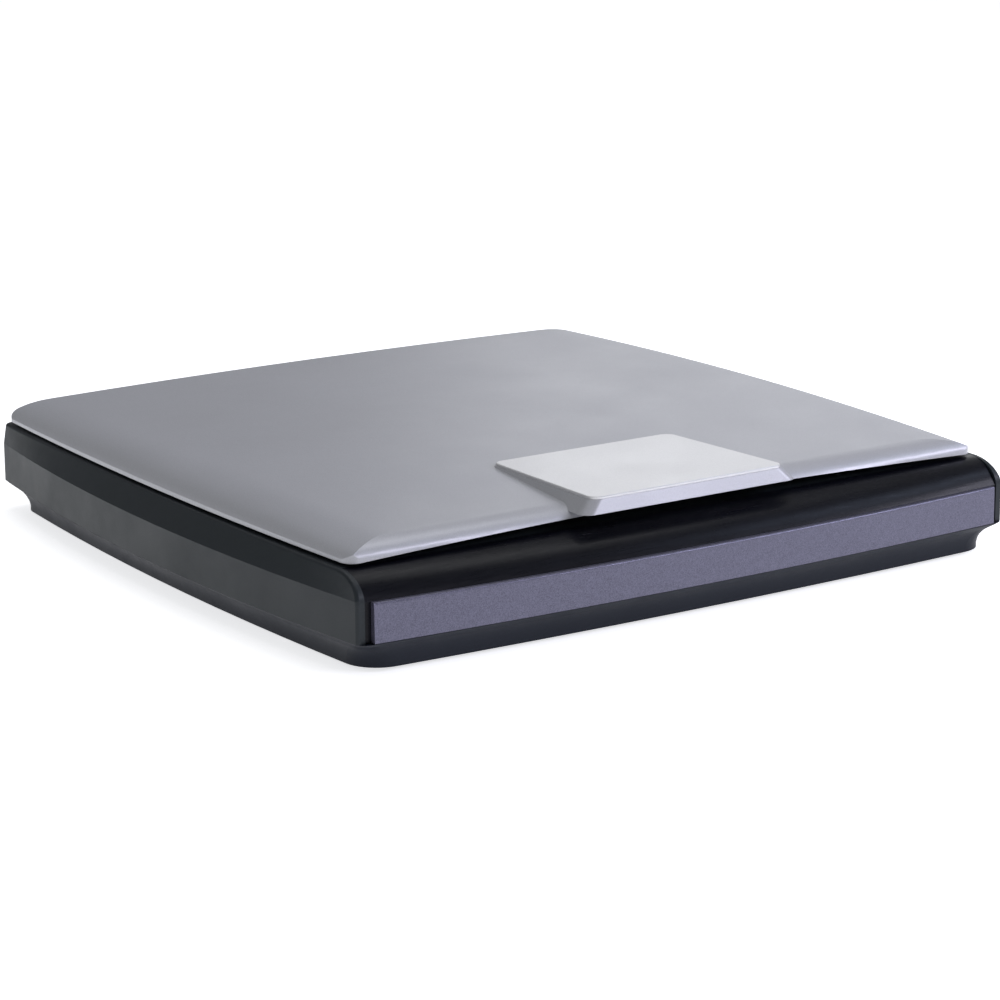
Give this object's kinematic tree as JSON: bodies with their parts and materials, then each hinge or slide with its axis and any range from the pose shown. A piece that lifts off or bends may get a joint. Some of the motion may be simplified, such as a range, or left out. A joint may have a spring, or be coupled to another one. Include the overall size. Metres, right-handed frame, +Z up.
{
  "type": "flatbed document scanner",
  "caption": "Low, nearly square flatbed scanner with bowed sides, glossy front bevel, metallic trim band and a crowned silver lid with a front lifting tab.",
  "frame": {"origin": "middle of the bounding box, on the table under the rubber feet", "axes": "+X to the right along the front, +Y to the back (hinge side), +Z up"},
  "size_m": [0.3908, 0.3779, 0.0603],
  "materials": {
    "tray_plastic": "fine satin texture",
    "housing_plastic": "fine satin texture",
    "gloss_black": "high gloss",
    "trim_metallic": "metallic purple-grey paint with fine flake",
    "glass": "clear float glass",
    "black_tape": "matt black adhesive tape",
    "white_plastic": "smooth white",
    "steel_rod": "ground",
    "black_plastic": "moulded, fine texture",
    "brass": "turned",
    "motor_steel": "zinc plated",
    "belt_rubber": "matt",
    "circuit_board": "green solder mask",
    "component_black": "moulded package",
    "ribbon": "flat flexible cable",
    "mirror": "front-surface mirror",
    "lid_silver": "satin silver-grey paint",
    "plate_silver": "fine satin",
    "foam": "soft foam",
    "rubber": "matt",
    "screw_steel": "zinc plated",
    "light_bar": "milky light guide"
  },
  "bodies": {
    "base": {"bottom_tray": "tray_plastic", "upper_housing": "housing_plastic", "front_fascia": "gloss_black", "front_trim_band": "trim_metallic", "platen_glass": "glass", "glass_tape": "black_tape", "calibration_strip": "white_plastic", "guide_rod": "steel_rod", "slide_rail": "white_plastic", "rod_clips": "black_plastic", "drive_motor": "motor_steel", "drive_bracket": "motor_steel", "gear_pin": "steel_rod", "drive_belt": "belt_rubber", "idler_bracket": "motor_steel", "idler_pin": "steel_rod", "main_board": "circuit_board", "board_components": "component_black", "ribbon_connector": "white_plastic", "usb_port": "motor_steel", "power_jack": "black_plastic", "home_sensor": "black_plastic", "rubber_feet": "rubber", "case_screws": "screw_steel", "board_screws": "screw_steel"},
    "carriage": {"carriage_frame": "black_plastic", "rod_bushings": "brass", "slider_pads": "white_plastic", "belt_clamp": "black_plastic", "carriage_cover": "black_plastic", "light_bars": "light_bar", "mirror_first": "mirror", "mirror_second": "mirror", "mirror_third": "mirror", "mirror_holders": "black_plastic", "lens_barrel": "black_plastic", "lens_glass": "glass", "lens_seat": "motor_steel", "sensor_board": "circuit_board", "line_sensor": "component_black", "cover_screws": "screw_steel", "carriage_ribbon": "ribbon"},
    "drive_wheel": {"drive_gear": "white_plastic"},
    "pinion": {"motor_pinion": "brass", "motor_shaft": "steel_rod"},
    "idler": {"idler_pulley": "white_plastic"},
    "hinge_lift": {"hinge_posts": "black_plastic", "hinge_pins": "steel_rod"},
    "lid": {"lid_shell": "lid_silver", "handle_body": "lid_silver", "handle_plate": "plate_silver", "lid_inner_panel": "housing_plastic", "foam_pad": "foam", "white_sheet": "white_plastic", "hinge_brackets": "black_plastic", "bracket_screws": "screw_steel", "panel_screws": "screw_steel", "lid_bumpers": "rubber"}
  },
  "joints": [
    {"name": "carriage_slide", "type": "slide", "parent": "base", "child": "carriage", "axis": [0, -1, 0], "range_m": [0, 0.228], "deforming": ["carriage_ribbon"]},
    {"name": "drive_gear_spin", "type": "hinge", "parent": "base", "child": "drive_wheel", "pos_m": [-0.1703, 0.128, 0.02], "axis": [1, 0, 0], "range_deg": [-30, 2000]},
    {"name": "idler_spin", "type": "hinge", "parent": "base", "child": "idler", "pos_m": [-0.1703, -0.163, 0.02], "axis": [1, 0, 0], "range_deg": [-30, 2000]},
    {"name": "motor_pinion_spin", "type": "hinge", "parent": "base", "child": "pinion", "pos_m": [-0.164, 0.1468, 0.02], "axis": [1, 0, 0], "range_deg": [-4700, 60]},
    {"name": "hinge_post_lift", "type": "slide", "parent": "base", "child": "hinge_lift", "axis": [0, 0, 1], "range_m": [0, 0.012]},
    {"name": "lid_hinge", "type": "hinge", "parent": "hinge_lift", "child": "lid", "pos_m": [0, 0.1825, 0.0495], "axis": [-1, 0, 0], "range_deg": [0, 85]}
  ],
  "couplings": [
    {"joint": "drive_gear_spin", "follows": "carriage_slide", "rad_per_m": 140.85},
    {"joint": "idler_spin", "follows": "carriage_slide", "rad_per_m": 140.85},
    {"joint": "motor_pinion_spin", "follows": "carriage_slide", "rad_per_m": -331.99}
  ]
}
